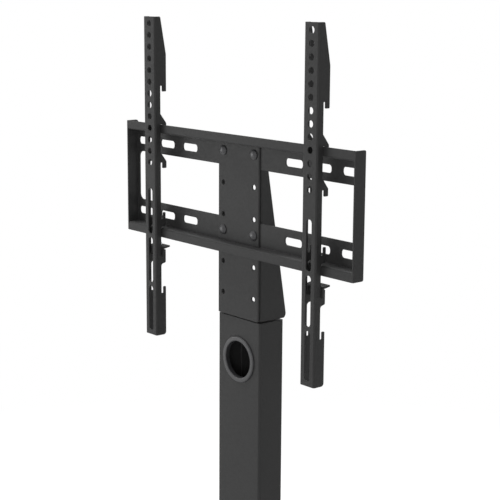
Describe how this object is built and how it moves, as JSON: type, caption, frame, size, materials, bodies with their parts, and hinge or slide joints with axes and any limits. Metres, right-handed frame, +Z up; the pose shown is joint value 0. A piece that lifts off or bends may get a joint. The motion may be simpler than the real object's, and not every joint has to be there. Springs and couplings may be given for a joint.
{
  "type": "tv stand with mount",
  "caption": "Floor stand with a steel post, a swivel head with a slotted wall plate, and two sliding hook-on rails that carry a television.",
  "frame": {"origin": "on the floor, under the middle of the post, which is the middle of the base plate", "axes": "+X to the right of a viewer in front, +Y to the back, +Z up; the screen rails face -Y"},
  "size_m": [0.62, 0.44, 1.2516],
  "materials": {
    "powder_coated_steel": "fine matt powder coat, black",
    "black_oxide_steel": "black oxide, satin",
    "zinc_plated_steel": "bright zinc plate",
    "black_plastic": "moulded, satin",
    "slip_plastic": "black acetal",
    "rubber": "matt rubber"
  },
  "bodies": {
    "stand": {"base_plate": "powder_coated_steel", "rubber_feet": "rubber", "foot_screws": "zinc_plated_steel", "foot_flange": "powder_coated_steel", "flange_screws": "black_oxide_steel", "post": "powder_coated_steel", "post_cap": "powder_coated_steel", "cable_grommet": "black_plastic", "lower_grommet": "black_plastic", "pivot_bolt": "zinc_plated_steel", "stop_pins": "zinc_plated_steel", "slip_washer": "slip_plastic", "top_washer": "zinc_plated_steel", "disc_springs": "zinc_plated_steel", "pivot_nut": "zinc_plated_steel"},
    "head": {"head_bracket": "powder_coated_steel", "head_sole": "powder_coated_steel", "front_plate": "powder_coated_steel", "wall_plate": "powder_coated_steel", "clamp_bolts": "black_oxide_steel", "clamp_washers": "zinc_plated_steel", "clamp_nuts": "zinc_plated_steel"},
    "rail_left_body": {"rail_left": "powder_coated_steel", "lock_left": "powder_coated_steel"},
    "rail_right_body": {"rail_right": "powder_coated_steel", "lock_right": "powder_coated_steel"},
    "safety_left_body": {"safety_left": "zinc_plated_steel"},
    "safety_right_body": {"safety_right": "zinc_plated_steel"}
  },
  "joints": [
    {"name": "head_swivel", "type": "hinge", "parent": "stand", "child": "head", "pos_m": [0, 0, 0.8728], "axis": [0, 0, 1], "range_deg": [-40, 40]},
    {"name": "rail_left_slide", "type": "slide", "parent": "head", "child": "rail_left_body", "axis": [1, 0, 0], "range_m": [-0.043, 0.107]},
    {"name": "rail_right_slide", "type": "slide", "parent": "head", "child": "rail_right_body", "axis": [1, 0, 0], "range_m": [-0.107, 0.043]},
    {"name": "safety_left_travel", "type": "slide", "parent": "rail_left_body", "child": "safety_left_body", "axis": [0, -0.1736, 0.9848], "range_m": [0, 0.009]},
    {"name": "safety_right_travel", "type": "slide", "parent": "rail_right_body", "child": "safety_right_body", "axis": [0, -0.1736, 0.9848], "range_m": [0, 0.009]}
  ]
}
